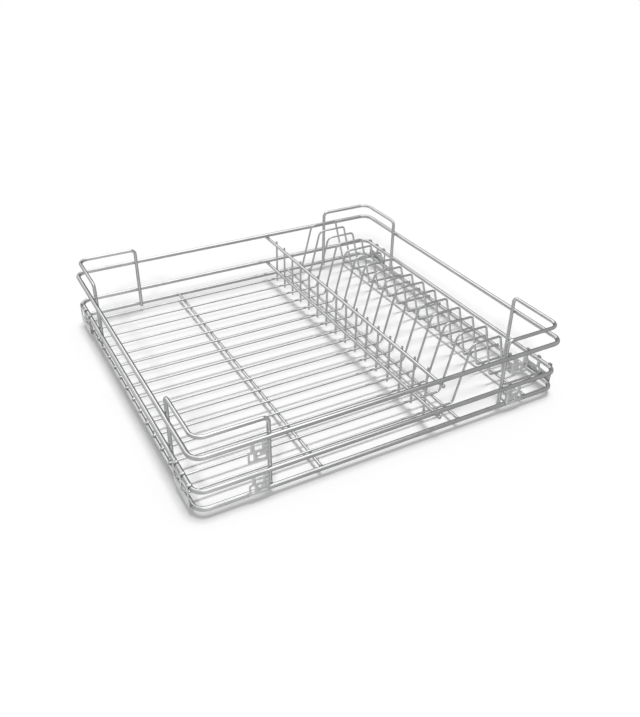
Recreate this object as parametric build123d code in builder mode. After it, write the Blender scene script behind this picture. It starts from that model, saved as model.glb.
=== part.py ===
from build123d import *
import os

os.makedirs("parts", exist_ok=True)

# Wire-work dish basket that pulls out of a 600 mm kitchen cabinet.
# X runs to the right, Y to the back and Z up. The origin is under the middle of the
# basket, at the height of the bottom rim's underside.

# ---------------------------------------------------------------- driving sizes, mm
rim_wire = 6.0
frame_wire = 5.0
bearer_wire = 4.0
deck_wire = 3.0
weld_gap = 0.02

rim_length_x = 521.0
rim_length_y = 494.0
rim_corner_radius = 15.0
middle_rim_rise = 25.5
top_rim_rise = 72.9

handrail_rise = 95.5
handrail_leg_x = 168.5
handrail_leg_y = 153.0
handrail_bend_radius = 7.0
handrail_corner_radius = 14.0

bearer_places = {"bearer_left": -103.3, "bearer_middle": 98.5, "bearer_right": 210.0}
divider_x = 62.0
divider_overhang = 3.0

deck_count = 16
deck_pitch = 28.93
deck_tip_inset = 1.0
arch_foot_x = 110.0
arch_crest_start_x = 131.0
arch_crest_end_x = 177.0
arch_heel_x = 197.0
arch_crest_rise = 88.5
arch_radii = [6.0, 10.0, 5.0, 5.0]
upright_top_rise = 70.9
upright_bottom_rise = -2.0

sheet = 1.5
sheet_gap = 0.05

side_plate_middle_y = 211.0
side_plate_length = 50.0
side_plate_bottom_rise = -2.0
side_plate_top_rise = 24.5
side_plate_corner_radius = 2.0
side_window_length = 19.0
side_window_height = 11.0
side_window_pitch = 24.0
side_window_rise = 16.5
side_window_radius = 4.0
side_hole_radius = 2.2
side_hole_rise = 7.3
side_hook_width = 4.0
side_hook_pitch = 22.0
side_hook_depth = 5.0

bracket_inner_x = 172.6
bracket_column_x = 181.2
bracket_tab_x = (190.6, 195.0)
bracket_outer_x = 198.8
bracket_shoulder_drop = 9.8
bracket_window_drop = 9.6
bracket_bottom_drop = 25.6
bracket_tab_drop = 1.2
bracket_ear_window = (191.9, 196.6, 12.2, 22.4)
bracket_hole_x = 185.9
bracket_hole_drop = 15.3
bracket_hole_radius = 2.15
bracket_slot_x = 182.0
bracket_slot_drop = 20.9
bracket_slot_length = 10.5
bracket_slot_height = 3.4
bracket_flange_depth = 14.5
bracket_flange_drops = (7.5, 22.2)
bracket_flange_hole_radius = 4.5
bracket_flange_hole_depth = 6.6
bracket_flange_hole_drop = 15.2

# ---------------------------------------------------------------- worked-out sizes
rim_z = rim_wire / 2
half_x = rim_length_x / 2
half_y = rim_length_y / 2
rail_inset = (rim_wire + frame_wire) / 2 + weld_gap
deck_z = rim_z + (rim_wire + deck_wire) / 2 + weld_gap
bearer_z = deck_z - (bearer_wire + deck_wire) / 2 - weld_gap
divider_drop = (rim_wire + frame_wire) / 2 + weld_gap
upright_x = divider_x + (frame_wire + deck_wire) / 2 + weld_gap
upright_offset_y = deck_wire + weld_gap
side_face_x = half_x + rim_wire / 2 + sheet_gap
front_face_y = half_y + rim_wire / 2 + sheet_gap
hook_z = rim_z + middle_rim_rise + rim_wire / 2 + sheet_gap


def save(part, name):
    """Label a finished piece and write it to its own file."""
    part.label = name
    export_step(part, f"parts/{name}.step")


def bent_wire(points, radii, diameter, name):
    """A round wire along straight runs that are joined by bends."""
    with BuildPart() as wire:
        with BuildLine() as route:
            FilletPolyline(*points, radius=radii)
        with BuildSketch(Plane(route.line @ 0, z_dir=route.line % 0)):
            Circle(diameter / 2)
        sweep(path=route.line)
    save(wire.part, name)


def straight_wire(start, end, diameter, name):
    """A round wire with square-cut ends."""
    with BuildPart() as wire:
        axis = Vector(*end) - Vector(*start)
        with BuildSketch(Plane(start, z_dir=axis)):
            Circle(diameter / 2)
        extrude(amount=axis.length)
    save(wire.part, name)


# ---------------------------------------------------------------- three rims
for name, rise in (("bottom_rim", 0), ("middle_rim", middle_rim_rise), ("top_rim", top_rim_rise)):
    with BuildPart() as rim:
        with BuildSketch(Plane.XY.offset(rim_z + rise), mode=Mode.PRIVATE) as outline:
            RectangleRounded(rim_length_x, rim_length_y, rim_corner_radius)
        loop = outline.sketch.face().outer_wire()
        with BuildSketch(Plane(loop @ 0, z_dir=loop % 0)):
            Circle(rim_wire / 2)
        sweep(path=loop)
    save(rim.part, name)

# ---------------------------------------------------------------- four corner handrails
rail_x = half_x - rail_inset
rail_y = half_y - rail_inset
rail_z = rim_z + handrail_rise
for name, side, end in (
    ("handrail_front_left", -1, -1),
    ("handrail_front_right", 1, -1),
    ("handrail_back_left", -1, 1),
    ("handrail_back_right", 1, 1),
):
    corner_points = (
        (side * handrail_leg_x, end * rail_y, weld_gap),
        (side * handrail_leg_x, end * rail_y, rail_z),
        (side * rail_x, end * rail_y, rail_z),
        (side * rail_x, end * handrail_leg_y, rail_z),
        (side * rail_x, end * handrail_leg_y, weld_gap),
    )
    bends = [handrail_bend_radius, handrail_corner_radius, handrail_bend_radius]
    bent_wire(corner_points, bends, frame_wire, name)

# ---------------------------------------------------------------- wires under the deck
bearer_end_y = half_y - rim_wire / 2 - weld_gap
for name, place in bearer_places.items():
    straight_wire((place, -bearer_end_y, bearer_z), (place, bearer_end_y, bearer_z), bearer_wire, name)

# ---------------------------------------------------------------- divider wires
divider_end_y = half_y + rim_wire / 2 + divider_overhang
for name, rise in (("divider_upper", top_rim_rise), ("divider_lower", middle_rim_rise)):
    height = rim_z + rise - divider_drop
    straight_wire((divider_x, -divider_end_y, height), (divider_x, divider_end_y, height), frame_wire, name)

# ---------------------------------------------------------------- deck wires and uprights
crest_z = rim_z + arch_crest_rise
tip_x = half_x + deck_tip_inset
for number in range(1, deck_count + 1):
    wire_y = deck_pitch * ((deck_count + 1) / 2 - number)
    deck_points = (
        (-tip_x, wire_y, deck_z),
        (arch_foot_x, wire_y, deck_z),
        (arch_crest_start_x, wire_y, crest_z),
        (arch_crest_end_x, wire_y, crest_z),
        (arch_heel_x, wire_y, deck_z),
        (tip_x, wire_y, deck_z),
    )
    bent_wire(deck_points, arch_radii, deck_wire, f"deck_wire_{number:02d}")
    foot = (upright_x, wire_y + upright_offset_y, rim_z + upright_bottom_rise)
    head = (upright_x, wire_y + upright_offset_y, rim_z + upright_top_rise)
    straight_wire(foot, head, deck_wire, f"upright_{number:02d}")

# ---------------------------------------------------------------- side plates
plate_bottom_z = rim_z + side_plate_bottom_rise
plate_height = side_plate_top_rise - side_plate_bottom_rise
plate_middle_z = plate_bottom_z + plate_height / 2
window_v = rim_z + side_window_rise - plate_middle_z
hole_v = rim_z + side_hole_rise - plate_middle_z
hook_top_z = hook_z + sheet
for name, side, end in (
    ("side_plate_front_left", -1, -1),
    ("side_plate_front_right", 1, -1),
    ("side_plate_back_left", -1, 1),
    ("side_plate_back_right", 1, 1),
):
    middle_y = end * side_plate_middle_y
    outer_face = Plane((side * side_face_x, middle_y, plate_middle_z), x_dir=(0, 1, 0), z_dir=(side, 0, 0))
    hook_roots = Plane((side * side_face_x, middle_y, hook_top_z), x_dir=(0, 1, 0), z_dir=(side, 0, 0))
    hook_length = hook_top_z - plate_middle_z
    with BuildPart() as side_plate:
        with BuildSketch(outer_face):
            RectangleRounded(side_plate_length, plate_height, side_plate_corner_radius)
            with Locations((0, side * hook_length / 2)):
                with GridLocations(side_hook_pitch, 1, 3, 1):
                    Rectangle(side_hook_width, hook_length)
            with Locations((0, side * window_v)):
                with GridLocations(side_window_pitch, 1, 2, 1):
                    RectangleRounded(side_window_length, side_window_height, side_window_radius,
                                     mode=Mode.SUBTRACT)
            with Locations((0, side * hole_v)):
                Circle(side_hole_radius, mode=Mode.SUBTRACT)
        extrude(amount=sheet)
        with BuildSketch(hook_roots):
            with Locations((0, -side * sheet / 2)):
                with GridLocations(side_hook_pitch, 1, 3, 1):
                    Rectangle(side_hook_width, sheet)
        extrude(amount=-side_hook_depth)
    save(side_plate.part, name)

# ---------------------------------------------------------------- front brackets


def panel(side, inner_x, outer_x, top_drop, bottom_drop, mode=Mode.ADD):
    """A rectangle of the bracket's face, measured from the middle and down from its rim."""
    with Locations((side * (inner_x + outer_x) / 2, -(top_drop + bottom_drop) / 2)):
        Rectangle(outer_x - inner_x, bottom_drop - top_drop, mode=mode)


for name, side, rise in (
    ("front_bracket_left_upper", -1, top_rim_rise),
    ("front_bracket_left_lower", -1, middle_rim_rise),
    ("front_bracket_right_upper", 1, top_rim_rise),
    ("front_bracket_right_lower", 1, middle_rim_rise),
):
    bracket_rim_z = rim_z + rise
    front_face = Plane((0, -front_face_y, bracket_rim_z), x_dir=(1, 0, 0), z_dir=(0, -1, 0))
    flange_face = Plane((side * bracket_inner_x, -front_face_y, bracket_rim_z),
                        x_dir=(0, 1, 0), z_dir=(1, 0, 0))
    flange_top, flange_bottom = bracket_flange_drops
    ear_inner, ear_outer, ear_top, ear_bottom = bracket_ear_window
    with BuildPart() as bracket:
        with BuildSketch(front_face):
            panel(side, bracket_inner_x, bracket_tab_x[0], bracket_window_drop, bracket_bottom_drop)
            panel(side, bracket_inner_x, bracket_column_x, bracket_tab_drop, bracket_bottom_drop)
            panel(side, bracket_tab_x[0], bracket_tab_x[1], bracket_tab_drop, bracket_bottom_drop)
            panel(side, bracket_tab_x[0], bracket_outer_x, bracket_shoulder_drop, bracket_bottom_drop)
            panel(side, ear_inner, ear_outer, ear_top, ear_bottom, mode=Mode.SUBTRACT)
            with Locations((side * bracket_hole_x, -bracket_hole_drop)):
                Circle(bracket_hole_radius, mode=Mode.SUBTRACT)
            with Locations((side * bracket_slot_x, -bracket_slot_drop)):
                SlotOverall(bracket_slot_length, bracket_slot_height, mode=Mode.SUBTRACT)
        extrude(amount=sheet)
        with BuildSketch(flange_face):
            with Locations(((bracket_flange_depth - sheet) / 2, -(flange_top + flange_bottom) / 2)):
                Rectangle(bracket_flange_depth + sheet, flange_bottom - flange_top)
            with Locations((bracket_flange_hole_depth, -bracket_flange_hole_drop)):
                Circle(bracket_flange_hole_radius, mode=Mode.SUBTRACT)
        extrude(amount=side * sheet)
    save(bracket.part, name)
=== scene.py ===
import math

import bmesh
import bpy
from mathutils import Matrix, Vector


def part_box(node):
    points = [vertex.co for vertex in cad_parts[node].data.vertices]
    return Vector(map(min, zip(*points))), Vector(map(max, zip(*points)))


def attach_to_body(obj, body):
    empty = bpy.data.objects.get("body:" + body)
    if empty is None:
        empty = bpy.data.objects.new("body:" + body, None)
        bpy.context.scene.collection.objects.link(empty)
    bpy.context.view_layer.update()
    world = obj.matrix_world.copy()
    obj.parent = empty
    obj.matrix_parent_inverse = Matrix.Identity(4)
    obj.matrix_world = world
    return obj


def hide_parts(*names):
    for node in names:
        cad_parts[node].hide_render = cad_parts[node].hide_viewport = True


bl_info = {
    "name": "Pull-out dish rack",
    "version": (1, 0, 0),
    "blender": (4, 5, 0),
    "location": "View3D > Sidebar > Dish rack",
    "description": "Builds the chrome wires, stamped plates, welds and studio of a pull-out dish rack",
    "category": "Object",
}

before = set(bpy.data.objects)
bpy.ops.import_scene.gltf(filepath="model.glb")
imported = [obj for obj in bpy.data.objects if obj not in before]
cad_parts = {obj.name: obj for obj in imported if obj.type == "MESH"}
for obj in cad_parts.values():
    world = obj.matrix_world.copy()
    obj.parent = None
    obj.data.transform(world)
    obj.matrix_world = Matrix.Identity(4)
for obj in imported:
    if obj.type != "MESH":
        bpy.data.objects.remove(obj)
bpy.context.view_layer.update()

MM = 0.001
BODY = "root"
DECK_COUNT = sum(name.startswith("deck_wire_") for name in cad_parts)
RIMS = ("bottom_rim", "middle_rim", "top_rim")
HANDRAILS = {
    "handrail_front_left": (-1, -1),
    "handrail_front_right": (1, -1),
    "handrail_back_left": (-1, 1),
    "handrail_back_right": (1, 1),
}
BEARERS = ("bearer_left", "bearer_middle", "bearer_right")
DIVIDERS = ("divider_upper", "divider_lower")
SIDE_PLATES = {
    "side_plate_front_left": -1,
    "side_plate_front_right": 1,
    "side_plate_back_left": -1,
    "side_plate_back_right": 1,
}
BRACKETS = {
    "front_bracket_left_upper": -1,
    "front_bracket_left_lower": -1,
    "front_bracket_right_upper": 1,
    "front_bracket_right_lower": 1,
}

# Cut end of a wire, in radii: its chamfer's length, the ring behind that, and its narrower girth.
TIP_CHAMFER = 0.16
TIP_RING = 0.5
TIP_GIRTH = 0.84

# Longest share of a side that a rounded corner may take, and the largest angle shaded smooth.
CORNER_SHARE = 0.45
SMOOTH_ANGLE = math.radians(35)

# Side plate. Drops are measured from the middle rim's centre.
PLATE_TOP_DROP = 1.0 * MM
PLATE_CORNER = 1.0 * MM
HOOK_PITCH = 22 * MM
HOOK_WIDTH = 4 * MM
WINDOW_DROP = 9.0 * MM
WINDOW_PITCH = 24 * MM
WINDOW_LENGTH = 19 * MM
WINDOW_HEIGHT = 11 * MM
WINDOW_CORNER = 4 * MM
RUNNER_HOLE_RISE = 9.3 * MM
RUNNER_HOLE_RADIUS = 2.2 * MM

# Front bracket. Along is measured from its outer edge towards the flange, and rise from its foot.
BRACKET_CORNER = 0.7 * MM
SHOULDER_RISE = 15.8 * MM
TAB_ALONG = (3.8 * MM, 8.2 * MM)
GAP_RISE = 16.0 * MM
COLUMN_ALONG = 17.6 * MM
FLANGE_RISES = (3.4 * MM, 18.1 * MM)
EAR_WINDOW = (2.2 * MM, 3.2 * MM, 6.9 * MM, 13.4 * MM)
EAR_WINDOW_CORNER = 0.8 * MM
SCREW_HOLE = (12.9 * MM, 10.3 * MM, 2.15 * MM)
SLOT = (16.8 * MM, 4.7 * MM, 10.5 * MM, 3.4 * MM)
NOTCH_RISES = (21.6 * MM, 12.4 * MM, 17.0 * MM)
NOTCH_ALONG = (21.4 * MM, 23.2 * MM)
NOTCH_HALF_HEIGHT = 0.9 * MM
NOTCH_CORNER = 0.4 * MM
DRIVER_HOLE_INSET = 5.6 * MM
DRIVER_HOLE_RISE = 10.4 * MM
DRIVER_HOLE_RADIUS = 4.5 * MM

# Weld beads, as shares of their width.
DECK_BEAD_DEPTH = 0.55
RIM_BEAD_DEPTH = 0.5
LEG_BEAD_HEIGHT = 0.9
BEARER_BEAD_HEIGHT = 0.85

# The part of a noise's range that is spread over a pattern's tones, on the metals and on the floor.
NOISE_RANGE = (0.3, 0.7)
FLOOR_NOISE_RANGE = (0.35, 0.65)

# Where each lamp stands, from the front and above the horizon, and how wide it looks, in degrees.
FRONT_LAMP = (-36, 40, 7)
TOP_LAMP = (100, 87, 13)

# Tones of the room's back and front halves, by place from the left (0) to the right (1).
BACK_TONES = ((0.0, 0.38), (0.15, 0.38), (0.23, 0.7), (0.47, 0.7), (0.56, 0.17), (0.72, 0.24), (1.0, 0.4))
FRONT_TONES = ((0.0, 0.45), (0.4, 0.55), (0.58, 0.66), (0.645, 0.36), (0.75, 0.34), (1.0, 0.42))
ROOM_SEAM = (-0.1, 0.2)

# The softbox's soft edges, as slopes of a direction. Each goes from dark to full brightness.
SOFTBOX_HORIZON = (0.05, 0.15)
SOFTBOX_ACROSS = ((-0.5, 0.0), (0.65, 0.45))
SOFTBOX_ALONG = ((-0.75, -0.5), (2.4, 1.8))


# ------------------------------------------------------------------ settings
class WireSettings(bpy.types.PropertyGroup):
    """Bends of the wires. Their diameters and places come from the frame."""

    rim_corner: bpy.props.FloatProperty(
        name="Rim corner", description="Bend radius of the three rims, at the wire's centre line",
        default=15 * MM, min=0.0, subtype="DISTANCE", unit="LENGTH")
    handrail_corner: bpy.props.FloatProperty(
        name="Handrail corner", description="Bend radius where a handrail turns the basket's corner",
        default=14 * MM, min=0.0, subtype="DISTANCE", unit="LENGTH")
    handrail_leg: bpy.props.FloatProperty(
        name="Handrail leg bend", description="Bend radius where a handrail turns down into its leg",
        default=7 * MM, min=0.0, subtype="DISTANCE", unit="LENGTH")
    arch_foot: bpy.props.FloatProperty(
        name="Arch foot", description="X of the bend where a deck wire starts to rise",
        default=110 * MM, subtype="DISTANCE", unit="LENGTH")
    arch_crest_start: bpy.props.FloatProperty(
        name="Crest start", description="X of the first bend at the top of an arch",
        default=131 * MM, subtype="DISTANCE", unit="LENGTH")
    arch_crest_end: bpy.props.FloatProperty(
        name="Crest end", description="X of the second bend at the top of an arch",
        default=177 * MM, subtype="DISTANCE", unit="LENGTH")
    arch_heel: bpy.props.FloatProperty(
        name="Arch heel", description="X of the bend where the arch meets the deck again",
        default=197 * MM, subtype="DISTANCE", unit="LENGTH")
    arch_bends: bpy.props.FloatVectorProperty(
        name="Arch bends", description="Bend radii from the arch's foot to its heel",
        default=(6 * MM, 10 * MM, 5 * MM, 5 * MM), size=4, unit="LENGTH")
    bend_steps: bpy.props.IntProperty(
        name="Bend steps", description="Rings of vertices in each bend", default=12, min=2, max=48)
    sides: bpy.props.IntProperty(
        name="Sides", description="Vertices round a wire", default=20, min=6, max=64)


class SheetSettings(bpy.types.PropertyGroup):
    """The stamped plates and brackets."""

    thickness: bpy.props.FloatProperty(
        name="Thickness", description="Thickness of the stamped sheet",
        default=1.5 * MM, min=0.0, subtype="DISTANCE", unit="LENGTH")
    edge: bpy.props.FloatProperty(
        name="Edge", description="Radius of the tumbled edges",
        default=0.25 * MM, min=0.0, subtype="DISTANCE", unit="LENGTH")
    fold: bpy.props.FloatProperty(
        name="Fold", description="Inside radius of the folds",
        default=1.0 * MM, min=0.0, subtype="DISTANCE", unit="LENGTH")


class WeldSettings(bpy.types.PropertyGroup):
    """The spot welds where wires cross."""

    spread: bpy.props.FloatProperty(
        name="Spread", description="Width of a weld as a share of its thinner wire's diameter",
        default=0.56, min=0.1, max=2.0)
    variation: bpy.props.FloatProperty(
        name="Variation", description="How much the welds differ in size", default=0.16, min=0.0, max=0.5,
        subtype="FACTOR")
    seed: bpy.props.IntProperty(name="Seed", description="Seed of the welds' sizes and turns", default=7)


class FinishSettings(bpy.types.PropertyGroup):
    """Colours and gloss of the metals."""

    chrome: bpy.props.FloatVectorProperty(
        name="Chrome", description="Reflected colour of the plated wire",
        default=(0.80, 0.805, 0.81), size=3, min=0.0, max=1.0, subtype="COLOR")
    chrome_roughness: bpy.props.FloatProperty(
        name="Chrome roughness", description="Mean roughness of the plated wire",
        default=0.16, min=0.0, max=1.0, subtype="FACTOR")
    zinc: bpy.props.FloatVectorProperty(
        name="Zinc", description="Reflected colour of the brackets",
        default=(0.84, 0.845, 0.85), size=3, min=0.0, max=1.0, subtype="COLOR")
    zinc_roughness: bpy.props.FloatProperty(
        name="Zinc roughness", description="Mean roughness of the brackets",
        default=0.42, min=0.0, max=1.0, subtype="FACTOR")


class StageSettings(bpy.types.PropertyGroup):
    """Floor, lights and camera."""

    azimuth: bpy.props.FloatProperty(
        name="Azimuth", description="Turn of the camera about the vertical, 0 looks to the back",
        default=math.radians(-29.27), subtype="ANGLE", unit="ROTATION")
    elevation: bpy.props.FloatProperty(
        name="Elevation", description="Height of the camera above the horizon, as an angle",
        default=math.radians(32.74), subtype="ANGLE", unit="ROTATION")
    roll: bpy.props.FloatProperty(
        name="Roll", description="Turn of the camera about its own axis",
        default=math.radians(0.93), subtype="ANGLE", unit="ROTATION")
    distance: bpy.props.FloatProperty(
        name="Distance", description="From the camera to the point it aims at",
        default=0.9737, min=0.1, subtype="DISTANCE", unit="LENGTH")
    aim: bpy.props.FloatVectorProperty(
        name="Aim", description="Point in the middle of the picture",
        default=(-0.0389, -0.1226, 0.0671), size=3, subtype="TRANSLATION", unit="LENGTH")
    lens: bpy.props.FloatProperty(
        name="Lens", description="Focal length", default=37.8, min=10.0, subtype="DISTANCE_CAMERA")
    floor: bpy.props.FloatVectorProperty(
        name="Floor", description="Colour of the floor", default=(0.62, 0.62, 0.62), size=3,
        min=0.0, max=1.0, subtype="COLOR")
    floor_size: bpy.props.FloatProperty(
        name="Floor size", description="Length of the floor's side", default=30.0, min=1.0,
        subtype="DISTANCE", unit="LENGTH")
    floor_drop: bpy.props.FloatProperty(
        name="Floor drop", description="How far the floor lies under the bottom rim", default=9 * MM,
        min=0.0, subtype="DISTANCE", unit="LENGTH")
    front_light: bpy.props.FloatProperty(
        name="Front light", description="Strength of the light from beside the camera", default=1.2, min=0.0)
    top_light: bpy.props.FloatProperty(
        name="Top light", description="Strength of the wide light from overhead", default=2.75, min=0.0)
    fill: bpy.props.FloatProperty(
        name="Fill", description="Brightness of the light from all round", default=0.52, min=0.0)
    softbox: bpy.props.FloatProperty(
        name="Softbox", description="Brightness of the overhead softbox in the metal", default=1.5, min=0.0)


# ------------------------------------------------------------------ materials
def shader(name, roughness):
    """A new metal with its Principled shader, ready for its patterns."""
    material = bpy.data.materials.new(name)
    material.use_nodes = True
    nodes = material.node_tree.nodes
    principled = nodes["Principled BSDF"]
    principled.inputs["Metallic"].default_value = 1.0
    principled.inputs["Roughness"].default_value = roughness
    return material, nodes, material.node_tree.links, principled


def noise(nodes, links, coordinates, scale, detail):
    """Noise on the piece's own coordinates, in grains per metre."""
    texture = nodes.new("ShaderNodeTexNoise")
    texture.inputs["Scale"].default_value = scale
    texture.inputs["Detail"].default_value = detail
    links.new(coordinates.outputs["Object"], texture.inputs["Vector"])
    return texture.outputs["Fac"]


def ramp(nodes, links, source, stops):
    """A colour ramp on source, with stops of (position, colour)."""
    node = nodes.new("ShaderNodeValToRGB")
    while len(node.color_ramp.elements) < len(stops):
        node.color_ramp.elements.new(0.5)
    for element, (position, colour) in zip(node.color_ramp.elements, stops):
        element.position = position
        element.color = (*colour, 1)
    links.new(source, node.inputs["Fac"])
    return node.outputs["Color"]


def spread(nodes, links, source, low, high):
    """A noise's usual range, spread over low to high."""
    node = nodes.new("ShaderNodeMapRange")
    node.inputs["From Min"].default_value = NOISE_RANGE[0]
    node.inputs["From Max"].default_value = NOISE_RANGE[1]
    node.inputs["To Min"].default_value = low
    node.inputs["To Max"].default_value = high
    links.new(source, node.inputs["Value"])
    return node.outputs["Result"]


def relief(nodes, links, source, depth, principled):
    """Bump from source, depth in metres."""
    bump = nodes.new("ShaderNodeBump")
    bump.inputs["Strength"].default_value = 0.6
    bump.inputs["Distance"].default_value = depth
    links.new(source, bump.inputs["Height"])
    links.new(bump.outputs["Normal"], principled.inputs["Normal"])


def shades(colour, low, high):
    """Two tones of a colour."""
    return tuple(c * low for c in colour), tuple(min(1.0, c * high) for c in colour)


def metal(name, colour, roughness, clouds_per_metre, grains_per_metre, tone, gloss, depth):
    """A plated metal: clouds of tone, grain in its gloss and a faint relief, and its shader."""
    material, nodes, links, principled = shader(name, roughness)
    coordinates = nodes.new("ShaderNodeTexCoord")
    clouds = noise(nodes, links, coordinates, clouds_per_metre, 3)
    grain = noise(nodes, links, coordinates, grains_per_metre, 2)
    tint = ramp(nodes, links, clouds, list(zip(NOISE_RANGE, shades(colour, 1 - tone, 1 + tone))))
    links.new(tint, principled.inputs["Base Color"])
    satin = spread(nodes, links, grain, roughness - gloss, roughness + gloss)
    links.new(satin, principled.inputs["Roughness"])
    relief(nodes, links, grain, depth, principled)
    return material, principled


def chrome_material(finish):
    """Bright plate on drawn wire."""
    material, principled = metal(
        "chrome plate", finish.chrome, finish.chrome_roughness,
        clouds_per_metre=45, grains_per_metre=1400, tone=0.06, gloss=0.05, depth=0.01 * MM)
    principled.inputs["Specular Tint"].default_value = (0.42, 0.42, 0.44, 1)
    return material


def weld_material(finish):
    """Plated weld: duller and rougher than the wire, and darker, which is painted shade where the wires
    cross.
    """
    # Painted shade: the weld's colour is darkened to stand for the shade at the wire crossings.
    colour = tuple(c * 0.62 for c in finish.chrome)
    material, principled = metal(
        "plated weld", colour, roughness=0.34,
        clouds_per_metre=260, grains_per_metre=2600, tone=0.2, gloss=0.08, depth=0.06 * MM)
    principled.inputs["Specular Tint"].default_value = (0.35, 0.35, 0.37, 1)
    return material


def plate_material(finish):
    """Bright plate on rolled sheet, a little duller than the wire."""
    colour = tuple(c * 0.94 for c in finish.chrome)
    material, _ = metal(
        "chrome plate on sheet", colour, finish.chrome_roughness + 0.08,
        clouds_per_metre=70, grains_per_metre=1800, tone=0.07, gloss=0.05, depth=0.01 * MM)
    return material


def zinc_material(finish):
    """Satin zinc on stamped sheet."""
    material, principled = metal(
        "satin zinc", finish.zinc, finish.zinc_roughness,
        clouds_per_metre=180, grains_per_metre=3000, tone=0.08, gloss=0.08, depth=0.02 * MM)
    principled.inputs["Metallic"].default_value = 0.9
    return material


def made_once(name, make, finish):
    """The material of that name, made if it isn't there yet."""
    return bpy.data.materials.get(name) or make(finish)


# ------------------------------------------------------------------ geometry node trees
def tree_with(name, sockets):
    """A geometry node tree with a geometry input and output and the named inputs."""
    tree = bpy.data.node_groups.new(name, "GeometryNodeTree")
    tree.interface.new_socket("Geometry", in_out="INPUT", socket_type="NodeSocketGeometry")
    for label, kind, default in sockets:
        socket = tree.interface.new_socket(label, in_out="INPUT", socket_type=kind)
        if default is not None:
            socket.default_value = default
    tree.interface.new_socket("Geometry", in_out="OUTPUT", socket_type="NodeSocketGeometry")
    start = tree.nodes.new("NodeGroupInput")
    end = tree.nodes.new("NodeGroupOutput")
    return tree, start, end


def named(tree, name, kind="FLOAT"):
    """The value of a named attribute."""
    node = tree.nodes.new("GeometryNodeInputNamedAttribute")
    node.data_type = kind
    node.inputs["Name"].default_value = name
    return node.outputs["Attribute"]


def wire_tree():
    """Bends a path's corners by their radius and sweeps a round wire along it."""
    tree, start, end = tree_with("Bent wire", (
        ("Wire radius", "NodeSocketFloat", 1.5 * MM),
        ("Bend steps", "NodeSocketInt", 12),
        ("Sides", "NodeSocketInt", 16),
        ("Material", "NodeSocketMaterial", None),
    ))
    nodes, links = tree.nodes, tree.links
    path = nodes.new("GeometryNodeMeshToCurve")
    links.new(start.outputs["Geometry"], path.inputs["Mesh"])
    bend = nodes.new("GeometryNodeFilletCurve")
    bend.mode = "POLY"
    bend.inputs["Limit Radius"].default_value = True
    links.new(path.outputs["Curve"], bend.inputs["Curve"])
    links.new(start.outputs["Bend steps"], bend.inputs["Count"])
    links.new(named(tree, "bend"), bend.inputs["Radius"])
    section = nodes.new("GeometryNodeCurvePrimitiveCircle")
    links.new(start.outputs["Sides"], section.inputs["Resolution"])
    links.new(start.outputs["Wire radius"], section.inputs["Radius"])
    sweep = nodes.new("GeometryNodeCurveToMesh")
    sweep.inputs["Fill Caps"].default_value = True
    links.new(bend.outputs["Curve"], sweep.inputs["Curve"])
    links.new(section.outputs["Curve"], sweep.inputs["Profile Curve"])
    links.new(named(tree, "girth"), sweep.inputs["Scale"])
    smooth = nodes.new("GeometryNodeSetShadeSmooth")
    links.new(sweep.outputs["Mesh"], smooth.inputs["Geometry"])
    finish_tree(tree, start, end, smooth.outputs["Geometry"])
    return tree


def weld_tree():
    """A bead of slightly different size at each point, as wide as the point says."""
    tree, start, end = tree_with("Weld beads", (
        ("Variation", "NodeSocketFloat", 0.16),
        ("Seed", "NodeSocketInt", 7),
        ("Material", "NodeSocketMaterial", None),
    ))
    nodes, links = tree.nodes, tree.links
    bead = nodes.new("GeometryNodeMeshIcoSphere")
    bead.inputs["Radius"].default_value = 1.0
    bead.inputs["Subdivisions"].default_value = 3
    low = nodes.new("ShaderNodeMath")
    low.operation = "SUBTRACT"
    low.inputs[0].default_value = 1.0
    links.new(start.outputs["Variation"], low.inputs[1])
    high = nodes.new("ShaderNodeMath")
    high.operation = "ADD"
    high.inputs[0].default_value = 1.0
    links.new(start.outputs["Variation"], high.inputs[1])
    chance = nodes.new("FunctionNodeRandomValue")
    chance.data_type = "FLOAT"
    lowest, highest = (socket for socket in chance.inputs if socket.identifier in ("Min_001", "Max_001"))
    links.new(low.outputs[0], lowest)
    links.new(high.outputs[0], highest)
    links.new(start.outputs["Seed"], chance.inputs["Seed"])
    size = nodes.new("ShaderNodeVectorMath")
    size.operation = "SCALE"
    links.new(named(tree, "size", "FLOAT_VECTOR"), size.inputs[0])
    links.new(chance.outputs[1], size.inputs["Scale"])
    place = nodes.new("GeometryNodeInstanceOnPoints")
    links.new(start.outputs["Geometry"], place.inputs["Points"])
    links.new(bead.outputs["Mesh"], place.inputs["Instance"])
    links.new(size.outputs["Vector"], place.inputs["Scale"])
    smooth = nodes.new("GeometryNodeSetShadeSmooth")
    links.new(place.outputs["Instances"], smooth.inputs["Geometry"])
    finish_tree(tree, start, end, smooth.outputs["Geometry"])
    return tree


def finish_tree(tree, start, end, made):
    """Ends a tree in Realize Instances and Set Material."""
    realize = tree.nodes.new("GeometryNodeRealizeInstances")
    tree.links.new(made, realize.inputs["Geometry"])
    paint = tree.nodes.new("GeometryNodeSetMaterial")
    tree.links.new(realize.outputs["Geometry"], paint.inputs["Geometry"])
    tree.links.new(start.outputs["Material"], paint.inputs["Material"])
    tree.links.new(paint.outputs["Geometry"], end.inputs["Geometry"])


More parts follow.
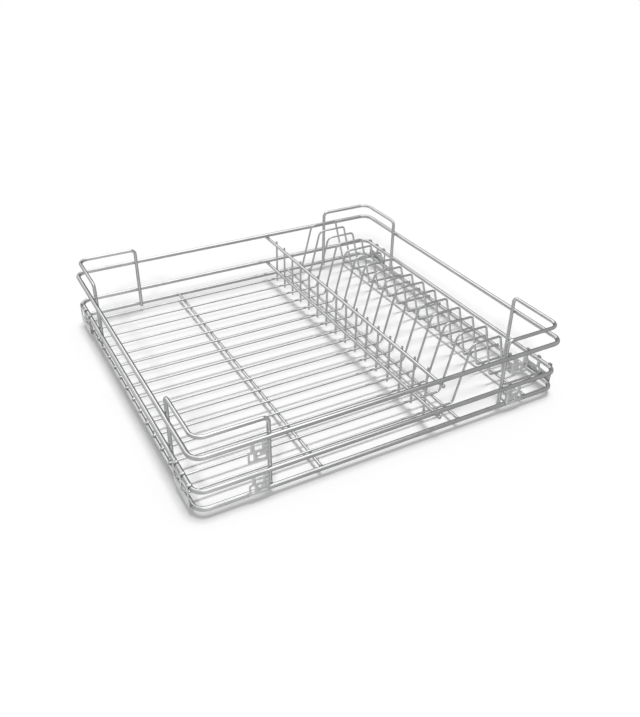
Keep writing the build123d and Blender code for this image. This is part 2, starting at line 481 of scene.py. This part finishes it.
def grown(seed_mesh, name, tree, values):
    """A plain mesh object: seed_mesh with tree run on it and its inputs set by name."""
    holder = bpy.data.objects.new(name, seed_mesh)
    bpy.context.scene.collection.objects.link(holder)
    modifier = holder.modifiers.new("Make", "NODES")
    modifier.node_group = tree
    for item in tree.interface.items_tree:
        if item.in_out == "INPUT" and item.name in values:
            modifier[item.identifier] = values[item.name]
    holder.update_tag()
    bpy.context.view_layer.update()
    evaluated = holder.evaluated_get(bpy.context.evaluated_depsgraph_get())
    mesh = bpy.data.meshes.new_from_object(evaluated)
    mesh.name = name
    holder.modifiers.remove(modifier)
    bpy.data.objects.remove(holder)
    bpy.data.meshes.remove(seed_mesh)
    piece = bpy.data.objects.new(name, mesh)
    bpy.context.scene.collection.objects.link(piece)
    return piece


# ------------------------------------------------------------------ wires
def path_mesh(points, bends, girths, closed):
    """A line of vertices that holds each point's bend radius and share of the wire's girth."""
    edges = [(i, i + 1) for i in range(len(points) - 1)]
    if closed:
        edges.append((len(points) - 1, 0))
    mesh = bpy.data.meshes.new("path")
    mesh.from_pydata(points, edges, [])
    for name, values in (("bend", bends), ("girth", girths)):
        attribute = mesh.attributes.new(name, "FLOAT", "POINT")
        attribute.data.foreach_set("value", values)
    return mesh


def with_tips(points, bends, radius):
    """Adds a sheared tip with a small chamfer to both ends of an open path, and a ring behind each."""
    first = (Vector(points[1]) - Vector(points[0])).normalized()
    last = (Vector(points[-2]) - Vector(points[-1])).normalized()
    reaches = (TIP_CHAMFER * radius, TIP_RING * radius)
    heads = [Vector(points[0]) + first * reach for reach in reaches]
    tails = [Vector(points[-1]) + last * reach for reach in reversed(reaches)]
    points = [points[0], *heads, *points[1:-1], *tails, points[-1]]
    bends = [0.0, 0.0, 0.0, *bends, 0.0, 0.0, 0.0]
    girths = [TIP_GIRTH] + [1.0] * (len(points) - 2) + [TIP_GIRTH]
    return points, bends, girths


def wire(context, node, points, bends, diameter, closed=False):
    """One wire of the basket, which stands for its node."""
    wires = context.scene.rack_wires
    if closed:
        girths = [1.0] * len(points)
    else:
        points, bends, girths = with_tips(points, bends, diameter / 2)
    tree = bpy.data.node_groups.get("Bent wire") or wire_tree()
    piece = grown(path_mesh(points, bends, girths, closed), node + "_wire", tree, {
        "Wire radius": diameter / 2,
        "Bend steps": wires.bend_steps,
        "Sides": wires.sides,
        "Material": made_once("chrome plate", chrome_material, context.scene.rack_finish),
    })
    attach(piece, "wire", node)


def attach(piece, slot, *nodes):
    """Puts a finished piece on the basket's body, in place of its nodes."""
    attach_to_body(piece, BODY)
    if nodes:
        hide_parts(*nodes)


def middle(node):
    """Centre of a node's box."""
    low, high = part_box(node)
    return (low + high) / 2


def thickness(node):
    """Diameter of a straight wire, from its box's shortest side."""
    low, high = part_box(node)
    return min(high - low)


class RACK_OT_rims(bpy.types.Operator):
    """Bend the three closed rims"""

    bl_idname = "rack.rims"
    bl_label = "Rims"

    def execute(self, context):
        corner = context.scene.rack_wires.rim_corner
        for node in RIMS:
            low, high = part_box(node)
            diameter = high.z - low.z
            inset = Vector((1, 1, 0)) * diameter / 2
            near, far = low + inset, high - inset
            z = (low.z + high.z) / 2
            points = [(near.x, near.y, z), (far.x, near.y, z), (far.x, far.y, z), (near.x, far.y, z)]
            wire(context, node, points, [corner] * 4, diameter, closed=True)
        return {"FINISHED"}


class RACK_OT_handrails(bpy.types.Operator):
    """Bend the four corner handrails with their legs"""

    bl_idname = "rack.handrails"
    bl_label = "Handrails"

    def execute(self, context):
        wires = context.scene.rack_wires
        diameter = thickness("divider_upper")
        for node, (side, end) in HANDRAILS.items():
            low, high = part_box(node)
            inset = Vector((1, 1, 0)) * diameter / 2
            near, far = low + inset, high - inset
            rail_x, leg_x = (near.x, far.x) if side < 0 else (far.x, near.x)
            rail_y, leg_y = (near.y, far.y) if end < 0 else (far.y, near.y)
            top = high.z - diameter / 2
            points = [(leg_x, rail_y, low.z), (leg_x, rail_y, top), (rail_x, rail_y, top),
                      (rail_x, leg_y, top), (rail_x, leg_y, low.z)]
            bends = [wires.handrail_leg, wires.handrail_corner, wires.handrail_leg]
            wire(context, node, points, bends, diameter)
        return {"FINISHED"}


def straight(context, node, axis):
    """A straight wire along axis 0, 1 or 2, from one side of its box to the other."""
    low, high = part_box(node)
    start = middle(node)
    stop = start.copy()
    start[axis] = low[axis]
    stop[axis] = high[axis]
    wire(context, node, [tuple(start), tuple(stop)], [], thickness(node))


class RACK_OT_bearers(bpy.types.Operator):
    """Lay the wires under the deck from front to back"""

    bl_idname = "rack.bearers"
    bl_label = "Bearers"

    def execute(self, context):
        for node in BEARERS:
            straight(context, node, 1)
        return {"FINISHED"}


class RACK_OT_dividers(bpy.types.Operator):
    """Lay the two divider wires beside the plate section"""

    bl_idname = "rack.dividers"
    bl_label = "Dividers"

    def execute(self, context):
        for node in DIVIDERS:
            straight(context, node, 1)
        return {"FINISHED"}


class RACK_OT_deck_wires(bpy.types.Operator):
    """Bend the deck wires, each with its plate arch"""

    bl_idname = "rack.deck_wires"
    bl_label = "Deck wires"

    def execute(self, context):
        wires = context.scene.rack_wires
        for number in range(1, DECK_COUNT + 1):
            node = f"deck_wire_{number:02d}"
            low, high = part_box(node)
            diameter = high.y - low.y
            y = (low.y + high.y) / 2
            deck = low.z + diameter / 2
            crest = high.z - diameter / 2
            points = [(low.x, y, deck), (wires.arch_foot, y, deck), (wires.arch_crest_start, y, crest),
                      (wires.arch_crest_end, y, crest), (wires.arch_heel, y, deck), (high.x, y, deck)]
            wire(context, node, points, list(wires.arch_bends), diameter)
        return {"FINISHED"}


class RACK_OT_uprights(bpy.types.Operator):
    """Stand the short uprights against the dividers"""

    bl_idname = "rack.uprights"
    bl_label = "Uprights"

    def execute(self, context):
        for number in range(1, DECK_COUNT + 1):
            straight(context, f"upright_{number:02d}", 2)
        return {"FINISHED"}


# ------------------------------------------------------------------ stamped sheet
def rounded(points, radius, steps=5):
    """A closed outline with each corner rounded, by less where a side is short."""
    outline = []
    count = len(points)
    for i, point in enumerate(points):
        corner = Vector(point)
        before = Vector(points[i - 1]) - corner
        after = Vector(points[(i + 1) % count]) - corner
        turn = before.angle(after)
        shorter = min(before.length, after.length)
        reach = min(radius / math.tan(turn / 2), CORNER_SHARE * shorter)
        start = corner + before.normalized() * reach
        stop = corner + after.normalized() * reach
        for step in range(steps + 1):
            t = step / steps
            outline.append((1 - t) ** 2 * start + 2 * t * (1 - t) * corner + t ** 2 * stop)
    return outline


def rectangle(low_u, low_v, high_u, high_v):
    """Corners of a rectangle."""
    return [(low_u, low_v), (high_u, low_v), (high_u, high_v), (low_u, high_v)]


def circle(u, v, radius, steps=40):
    """Points round a hole."""
    angles = [math.tau * i / steps for i in range(steps)]
    return [Vector((u + radius * math.cos(a), v + radius * math.sin(a))) for a in angles]


def slot_hole(u, v, length, height, steps=10):
    """Points round a slot with round ends."""
    radius = height / 2
    reach = length / 2 - radius
    points = []
    for side, first in ((1, -math.pi / 2), (-1, math.pi / 2)):
        for i in range(steps + 1):
            angle = first + math.pi * i / steps
            points.append(Vector((u + side * reach + radius * math.cos(angle), v + radius * math.sin(angle))))
    return points


def blank(outlines, sheet):
    """The flat stamping in its own plane, from 0 to its thickness, as a bmesh with tumbled edges."""
    curve = bpy.data.curves.new("stamping", "CURVE")
    curve.dimensions = "2D"
    curve.fill_mode = "BOTH"
    curve.extrude = sheet.thickness / 2 - sheet.edge
    curve.bevel_depth = sheet.edge
    curve.bevel_resolution = 2
    curve.offset = -sheet.edge
    for outline in outlines:
        spline = curve.splines.new("POLY")
        spline.points.add(len(outline) - 1)
        for point, place in zip(spline.points, outline):
            point.co = (place[0], place[1], 0, 1)
        spline.use_cyclic_u = True
    holder = bpy.data.objects.new("stamping", curve)
    bpy.context.scene.collection.objects.link(holder)
    bpy.context.view_layer.update()
    mesh = bpy.data.meshes.new_from_object(holder.evaluated_get(bpy.context.evaluated_depsgraph_get()))
    bpy.data.objects.remove(holder)
    bpy.data.curves.remove(curve)
    shape = bmesh.new()
    shape.from_mesh(mesh)
    bpy.data.meshes.remove(mesh)
    bmesh.ops.remove_doubles(shape, verts=shape.verts, dist=0.01 * MM)
    bmesh.ops.translate(shape, verts=shape.verts, vec=(0, 0, sheet.thickness / 2))
    return shape


def fold(shape, axis, start, sheet, cuts=7):
    """Folds what lies past start on axis 0 or 1 square to the back, round the fold radius."""
    neutral = sheet.fold + sheet.thickness / 2
    arc = neutral * math.pi / 2
    normal = Vector((axis == 0, axis == 1, 0))
    for cut in range(cuts + 1):
        place = normal * (start + arc * cut / cuts)
        geometry = shape.verts[:] + shape.edges[:] + shape.faces[:]
        bmesh.ops.bisect_plane(shape, geom=geometry, plane_co=place, plane_no=normal, dist=0.001 * MM)
    for vertex in shape.verts:
        past = vertex.co[axis] - start
        if past <= 0:
            continue
        angle = min(past, arc) / neutral
        rest = max(0.0, past - arc)
        radius = sheet.fold + vertex.co.z
        vertex.co[axis] = start + radius * math.sin(angle) + rest * math.cos(angle)
        vertex.co.z = -sheet.fold + radius * math.cos(angle) - rest * math.sin(angle)


def stand_up(shape, name, origin, u_axis, v_axis, outward, material, slot, node):
    """Places a stamping in the basket and makes it a piece."""
    turn = Matrix((u_axis, v_axis, outward)).transposed().to_4x4()
    bmesh.ops.transform(shape, matrix=Matrix.Translation(origin) @ turn, verts=shape.verts)
    bmesh.ops.recalc_face_normals(shape, faces=shape.faces)
    for face in shape.faces:
        face.smooth = True
    for edge in shape.edges:
        edge.smooth = len(edge.link_faces) < 2 or edge.calc_face_angle(0) < SMOOTH_ANGLE
    mesh = bpy.data.meshes.new(name)
    shape.to_mesh(mesh)
    shape.free()
    mesh.materials.append(material)
    piece = bpy.data.objects.new(name, mesh)
    bpy.context.scene.collection.objects.link(piece)
    attach(piece, slot, node)


class RACK_OT_side_plates(bpy.types.Operator):
    """Stamp the side plates and fold their hooks over the middle rim"""

    bl_idname = "rack.side_plates"
    bl_label = "Side plates"

    def execute(self, context):
        sheet = context.scene.rack_sheet
        material = made_once("chrome plate on sheet", plate_material, context.scene.rack_finish)
        rim = middle("middle_rim").z
        for node, side in SIDE_PLATES.items():
            low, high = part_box(node)
            crown = high.z - low.z - sheet.thickness - sheet.fold
            reach = sheet.fold + (high.x - low.x) - sheet.thickness
            outline = plate_outline((high.y - low.y) / 2, rim - PLATE_TOP_DROP - low.z, crown + reach)
            outlines = [rounded(outline, PLATE_CORNER), *plate_windows(rim - WINDOW_DROP - low.z)]
            outlines.append(circle(0, RUNNER_HOLE_RISE, RUNNER_HOLE_RADIUS))
            shape = blank(outlines, sheet)
            fold(shape, 1, crown, sheet)
            origin = Vector((high.x - sheet.thickness if side > 0 else low.x + sheet.thickness,
                             (low.y + high.y) / 2, low.z))
            stand_up(shape, node + "_sheet", origin, (0, side, 0), (0, 0, 1), (side, 0, 0), material,
                     "side_plate", node)
        return {"FINISHED"}


def plate_outline(half, top, reach):
    """A side plate's blank: a rectangle with three hooks that stand up from its top edge."""
    points = [(-half, 0), (half, 0), (half, top)]
    for place in (HOOK_PITCH, 0, -HOOK_PITCH):
        near, far = place + HOOK_WIDTH / 2, place - HOOK_WIDTH / 2
        points += [(near, top), (near, reach), (far, reach), (far, top)]
    points.append((-half, top))
    return points


def plate_windows(rise):
    """A side plate's two windows, with their middles at rise."""
    windows = []
    for place in (-WINDOW_PITCH / 2, WINDOW_PITCH / 2):
        window = rectangle(place - WINDOW_LENGTH / 2, rise - WINDOW_HEIGHT / 2,
                           place + WINDOW_LENGTH / 2, rise + WINDOW_HEIGHT / 2)
        windows.append(rounded(window, WINDOW_CORNER, steps=8))
    return windows


class RACK_OT_front_brackets(bpy.types.Operator):
    """Stamp the front brackets and fold their flanges back"""

    bl_idname = "rack.front_brackets"
    bl_label = "Front brackets"

    def execute(self, context):
        sheet = context.scene.rack_sheet
        material = made_once("satin zinc", zinc_material, context.scene.rack_finish)
        for node, side in BRACKETS.items():
            low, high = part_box(node)
            inner = low.x if side > 0 else -high.x
            width = high.x - low.x
            shape = blank(bracket_outlines(width, high.z - low.z, high.y - low.y, sheet), sheet)
            fold(shape, 0, width - sheet.thickness - sheet.fold, sheet)
            origin = Vector((side * (inner + width), low.y + sheet.thickness, low.z))
            stand_up(shape, node + "_sheet", origin, (-side, 0, 0), (0, 0, 1), (0, -1, 0), material,
                     "bracket", node)
        return {"FINISHED"}


def bracket_outlines(width, height, depth, sheet):
    """A front bracket's blank, with its flange laid flat."""
    fold_start = width - sheet.thickness - sheet.fold
    fold_end = fold_start + (sheet.fold + sheet.thickness / 2) * math.pi / 2
    flange_end = fold_end + depth - sheet.thickness - sheet.fold
    edge = width - sheet.thickness
    flange_foot, flange_top = FLANGE_RISES
    tab_start, tab_end = TAB_ALONG
    points = [
        (0, 0), (edge, 0), (edge, flange_foot), (flange_end, flange_foot), (flange_end, flange_top),
        (edge, flange_top), (edge, height), (COLUMN_ALONG, height), (COLUMN_ALONG, GAP_RISE),
        (tab_end, GAP_RISE), (tab_end, height), (tab_start, height), (tab_start, SHOULDER_RISE),
        (0, SHOULDER_RISE),
    ]
    outlines = [rounded(points, BRACKET_CORNER), rounded(rectangle(*EAR_WINDOW), EAR_WINDOW_CORNER)]
    outlines += [circle(*SCREW_HOLE), slot_hole(*SLOT)]
    notch_start, notch_end = NOTCH_ALONG
    for rise in NOTCH_RISES:
        notch = rectangle(notch_start, rise - NOTCH_HALF_HEIGHT, notch_end, rise + NOTCH_HALF_HEIGHT)
        outlines.append(rounded(notch, NOTCH_CORNER))
    outlines.append(circle(fold_end + DRIVER_HOLE_INSET, DRIVER_HOLE_RISE, DRIVER_HOLE_RADIUS))
    return outlines


# ------------------------------------------------------------------ welds
def weld_places(share):
    """Each weld's place and half-widths, worked out from where the wires cross."""
    beads = []
    rims = {node: middle(node).z for node in RIMS}
    low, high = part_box("bottom_rim")
    rim_radius = (high.z - low.z) / 2
    half_x = high.x - rim_radius
    half_y = high.y - rim_radius

    def add(place, size):
        beads.append((tuple(place), tuple(size)))

    for number in range(1, DECK_COUNT + 1):
        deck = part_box(f"deck_wire_{number:02d}")
        radius = (deck[1].y - deck[0].y) / 2
        wide = 2 * radius * share
        y = (deck[0].y + deck[1].y) / 2
        bottom = deck[0].z
        for node in BEARERS:
            add((middle(node).x, y, bottom), (wide, wide, DECK_BEAD_DEPTH * wide))
        for side in (-1, 1):
            add((side * half_x, y, bottom), (wide, wide, DECK_BEAD_DEPTH * wide))
        upright = middle(f"upright_{number:02d}")
        for node in DIVIDERS:
            divider = middle(node)
            face = divider.x + thickness(node) / 2
            add((face, upright.y, divider.z), (DECK_BEAD_DEPTH * wide, wide, wide))
        add((upright.x, y + radius, bottom + radius), (wide, DECK_BEAD_DEPTH * wide, wide))
    leg_radius = thickness("divider_upper") / 2
    wide = 2 * leg_radius * share
    for node, (side, end) in HANDRAILS.items():
        low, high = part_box(node)
        leg_x = (high.x if side < 0 else low.x) + side * leg_radius
        leg_y = (high.y if end < 0 else low.y) + end * leg_radius
        shallow, tall = RIM_BEAD_DEPTH * wide, LEG_BEAD_HEIGHT * wide
        for z in rims.values():
            add((leg_x, end * (half_y - rim_radius), z), (wide, shallow, tall))
            add((side * (half_x - rim_radius), leg_y, z), (shallow, wide, tall))
    for end in (-1, 1):
        for node in BEARERS:
            place = middle(node)
            bead = thickness(node) * share
            add((place.x, end * (half_y - rim_radius), place.z),
                (bead, RIM_BEAD_DEPTH * bead, BEARER_BEAD_HEIGHT * bead))
        for node, rim in zip(DIVIDERS, ("top_rim", "middle_rim")):
            add((middle(node).x, end * half_y, rims[rim] - rim_radius), (wide, wide, RIM_BEAD_DEPTH * wide))
    return beads


class RACK_OT_welds(bpy.types.Operator):
    """Set a plated weld bead at each crossing of the wires"""

    bl_idname = "rack.welds"
    bl_label = "Welds"

    def execute(self, context):
        welds = context.scene.rack_welds
        beads = weld_places(welds.spread)
        mesh = bpy.data.meshes.new("weld points")
        mesh.from_pydata([place for place, _ in beads], [], [])
        size = mesh.attributes.new("size", "FLOAT_VECTOR", "POINT")
        size.data.foreach_set("vector", [value for _, widths in beads for value in widths])
        piece = grown(mesh, "weld_beads", weld_tree(), {
            "Variation": welds.variation,
            "Seed": welds.seed,
            "Material": made_once("plated weld", weld_material, context.scene.rack_finish),
        })
        attach(piece, "wire")
        return {"FINISHED"}


# ------------------------------------------------------------------ stage
def floor_material(stage):
    """Matt pale floor with a hardly visible mottle."""
    material = bpy.data.materials.new("pale floor")
    material.use_nodes = True
    nodes = material.node_tree.nodes
    links = material.node_tree.links
    principled = nodes["Principled BSDF"]
    principled.inputs["Roughness"].default_value = 0.75
    principled.inputs["Specular IOR Level"].default_value = 0.2
    coordinates = nodes.new("ShaderNodeTexCoord")
    mottle = noise(nodes, links, coordinates, 6, 2)
    tint = ramp(nodes, links, mottle, list(zip(FLOOR_NOISE_RANGE, shades(stage.floor, 0.995, 1.005))))
    links.new(tint, principled.inputs["Base Color"])
    return material


def lamp(name, aim, strength):
    """A soft distant light, which the metal doesn't mirror."""
    azimuth, elevation, width = (math.radians(angle) for angle in aim)
    data = bpy.data.lights.new(name, "SUN")
    data.energy = strength
    data.angle = width
    light = bpy.data.objects.new(name, data)
    towards = Vector((math.cos(elevation) * math.sin(azimuth), -math.cos(elevation) * math.cos(azimuth),
                      math.sin(elevation)))
    light.rotation_euler = towards.to_track_quat("Z", "Y").to_euler()
    light.visible_glossy = False
    bpy.context.scene.collection.objects.link(light)


def maths(nodes, links, operation, first, second):
    """The result of a maths operation on two sockets."""
    node = nodes.new("ShaderNodeMath")
    node.operation = operation
    links.new(first, node.inputs[0])
    links.new(second, node.inputs[1])
    return node.outputs["Value"]


def step_up(nodes, links, value, low, high):
    """0 under low, 1 over high and smooth between, or the other way round if low is the larger."""
    node = nodes.new("ShaderNodeMapRange")
    node.interpolation_type = "SMOOTHSTEP"
    node.inputs["From Min"].default_value = low
    node.inputs["From Max"].default_value = high
    links.new(value, node.inputs["Value"])
    return node.outputs["Result"]


def softbox_mask(nodes, links, x, y, z):
    """1 towards the overhead softbox."""
    mask = step_up(nodes, links, z, *SOFTBOX_HORIZON)
    for part, edges in ((x, SOFTBOX_ACROSS), (y, SOFTBOX_ALONG)):
        slope = maths(nodes, links, "DIVIDE", part, z)
        for edge in edges:
            mask = maths(nodes, links, "MULTIPLY", mask, step_up(nodes, links, slope, *edge))
    return mask


def socket_of(sockets, identifier):
    """The socket with that identifier."""
    return next(socket for socket in sockets if socket.identifier == identifier)


def surround(stage):
    """What the metal mirrors, an overhead softbox in a grey room, with a plain fill and a white backdrop."""
    world = bpy.data.worlds.new("studio")
    world.use_nodes = True
    nodes = world.node_tree.nodes
    links = world.node_tree.links
    coordinates = nodes.new("ShaderNodeTexCoord")
    parts = nodes.new("ShaderNodeSeparateXYZ")
    links.new(coordinates.outputs["Generated"], parts.inputs["Vector"])
    x, y, z = (parts.outputs[axis] for axis in "XYZ")
    level = nodes.new("ShaderNodeMapRange")
    level.inputs["From Min"].default_value = -1.0
    links.new(x, level.inputs["Value"])
    behind, before = (
        ramp(nodes, links, level.outputs["Result"], [(place, (tone, tone, tone)) for place, tone in tones])
        for tones in (BACK_TONES, FRONT_TONES)
    )
    room = nodes.new("ShaderNodeMix")
    room.data_type = "RGBA"
    links.new(step_up(nodes, links, y, *ROOM_SEAM), room.inputs["Factor"])
    links.new(before, socket_of(room.inputs, "A_Color"))
    links.new(behind, socket_of(room.inputs, "B_Color"))
    walls = nodes["Background"]
    links.new(socket_of(room.outputs, "Result_Color"), walls.inputs["Color"])
    overhead, fill, backdrop = (nodes.new("ShaderNodeBackground") for _ in range(3))
    for background, strength in ((overhead, stage.softbox), (fill, stage.fill), (backdrop, 1.0)):
        background.inputs["Color"].default_value = (1, 1, 1, 1)
        background.inputs["Strength"].default_value = strength
    seen = nodes.new("ShaderNodeLightPath")
    shown = walls.outputs["Background"]
    for factor, background in (
        (softbox_mask(nodes, links, x, y, z), overhead),
        (seen.outputs["Is Diffuse Ray"], fill),
        (seen.outputs["Is Camera Ray"], backdrop),
    ):
        either = nodes.new("ShaderNodeMixShader")
        links.new(factor, either.inputs["Fac"])
        links.new(shown, either.inputs[1])
        links.new(background.outputs["Background"], either.inputs[2])
        shown = either.outputs["Shader"]
    links.new(shown, nodes["World Output"].inputs["Surface"])
    bpy.context.scene.world = world


def camera_on(stage):
    """The camera, on a sphere about its aim and rolled a little."""
    data = bpy.data.cameras.new("camera")
    data.lens = stage.lens
    data.clip_end = 100
    camera = bpy.data.objects.new("camera", data)
    level, turn = stage.elevation, stage.azimuth
    forward = Vector((-math.cos(level) * math.sin(turn), math.cos(level) * math.cos(turn), -math.sin(level)))
    right = Vector((math.cos(turn), math.sin(turn), 0))
    up = right.cross(forward)
    tilted = right * math.cos(stage.roll) + up * math.sin(stage.roll)
    upright = up * math.cos(stage.roll) - right * math.sin(stage.roll)
    place = Vector(stage.aim) - forward * stage.distance
    axes = Matrix((tilted, upright, -forward)).transposed().to_4x4()
    camera.matrix_world = Matrix.Translation(place) @ axes
    bpy.context.scene.collection.objects.link(camera)
    bpy.context.scene.camera = camera


class RACK_OT_stage(bpy.types.Operator):
    """Lay the floor, hang the lamps and set the camera"""

    bl_idname = "rack.stage"
    bl_label = "Stage"

    def execute(self, context):
        stage = context.scene.rack_stage
        half = stage.floor_size / 2
        mesh = bpy.data.meshes.new("floor")
        corners = [(x, y, -stage.floor_drop) for x, y in rectangle(-half, -half, half, half)]
        mesh.from_pydata(corners, [], [(0, 1, 2, 3)])
        mesh.materials.append(floor_material(stage))
        floor = bpy.data.objects.new("floor", mesh)
        context.scene.collection.objects.link(floor)
        floor.visible_glossy = False
        surround(stage)
        lamp("front light", FRONT_LAMP, stage.front_light)
        lamp("top light", TOP_LAMP, stage.top_light)
        camera_on(stage)
        context.scene.view_settings.view_transform = "Standard"
        return {"FINISHED"}


# ------------------------------------------------------------------ panel and registration
OPERATORS = (
    RACK_OT_rims, RACK_OT_handrails, RACK_OT_bearers, RACK_OT_dividers, RACK_OT_deck_wires,
    RACK_OT_uprights, RACK_OT_side_plates, RACK_OT_front_brackets, RACK_OT_welds, RACK_OT_stage,
)
GROUPS = {
    "rack_wires": WireSettings,
    "rack_sheet": SheetSettings,
    "rack_welds": WeldSettings,
    "rack_finish": FinishSettings,
    "rack_stage": StageSettings,
}


class RACK_PT_panel(bpy.types.Panel):
    """Steps and settings of the dish rack"""

    bl_idname = "RACK_PT_panel"
    bl_label = "Dish rack"
    bl_space_type = "VIEW_3D"
    bl_region_type = "UI"
    bl_category = "Dish rack"

    def draw(self, context):
        for operator in OPERATORS:
            self.layout.operator(operator.bl_idname)
        for name, group in GROUPS.items():
            box = self.layout.box()
            box.label(text=group.__doc__)
            for key in group.__annotations__:
                box.prop(getattr(context.scene, name), key)


def register():
    for group in GROUPS.values():
        bpy.utils.register_class(group)
    for operator in OPERATORS:
        bpy.utils.register_class(operator)
    bpy.utils.register_class(RACK_PT_panel)
    for name, group in GROUPS.items():
        setattr(bpy.types.Scene, name, bpy.props.PointerProperty(type=group))


def unregister():
    for name in GROUPS:
        delattr(bpy.types.Scene, name)
    bpy.utils.unregister_class(RACK_PT_panel)
    for operator in reversed(OPERATORS):
        bpy.utils.unregister_class(operator)
    for group in reversed(GROUPS.values()):
        bpy.utils.unregister_class(group)


def main():
    register()
    bpy.ops.rack.rims()
    bpy.ops.rack.handrails()
    bpy.ops.rack.bearers()
    bpy.ops.rack.dividers()
    bpy.ops.rack.deck_wires()
    bpy.ops.rack.uprights()
    bpy.ops.rack.side_plates()
    bpy.ops.rack.front_brackets()
    bpy.ops.rack.welds()
    bpy.ops.rack.stage()


if __name__ == "__main__":
    main()
